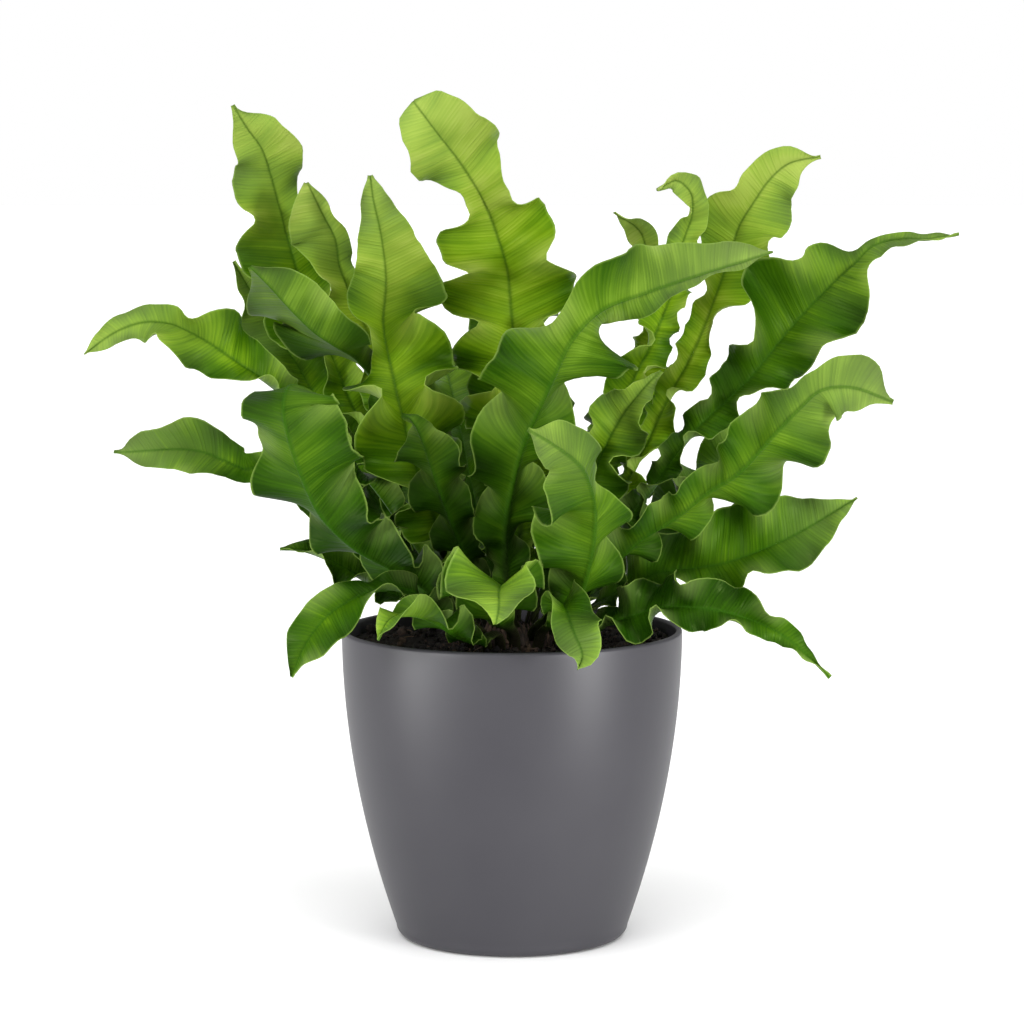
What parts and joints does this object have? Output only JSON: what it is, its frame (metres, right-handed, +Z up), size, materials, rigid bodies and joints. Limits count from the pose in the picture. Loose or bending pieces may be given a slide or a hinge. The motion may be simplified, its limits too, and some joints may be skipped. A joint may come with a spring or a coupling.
{
  "type": "potted fern",
  "caption": "Crisped bird's nest fern in a round cover pot: a rosette of undivided, strap-shaped fronds with deeply waved margins.",
  "frame": {"origin": "centre of the pot's flat base, on the surface that the pot stands on", "axes": "+Z up along the pot's axis, -Y towards the viewer of the picture, +X to the viewer's right"},
  "size_m": [0.3556, 0.261, 0.3445],
  "materials": {
    "pot": "satin",
    "soil": "matte",
    "crown": "matte",
    "frond": "satin",
    "young_frond": "satin"
  },
  "bodies": {
    "root": {"pot": "pot", "potting_soil": "soil", "crown": "crown", "frond_centre_tall": "young_frond", "frond_centre_left": "young_frond", "frond_small_left": "young_frond", "frond_left_tall": "young_frond", "frond_left_behind": "frond", "frond_left_front": "frond", "frond_left_large": "frond", "frond_far_left_upper": "frond", "frond_far_left_lower": "frond", "frond_left_drooping": "frond", "frond_left_low": "frond", "frond_front_arching": "frond", "frond_front_curled": "frond", "frond_front_low": "frond", "frond_front_drooping": "frond", "frond_right_drooping": "frond", "frond_right_low": "frond", "frond_right_middle": "frond", "frond_right_large": "frond", "frond_right_tall": "young_frond", "frond_right_hooked": "young_frond", "frond_small_curled": "young_frond", "frond_centre_right": "frond", "frond_back_left": "frond", "frond_back_centre": "frond", "frond_back_far_left": "frond", "frond_back_right": "frond", "frond_front_left_curled": "frond", "frond_centre_front": "frond"}
  },
  "joints": []
}
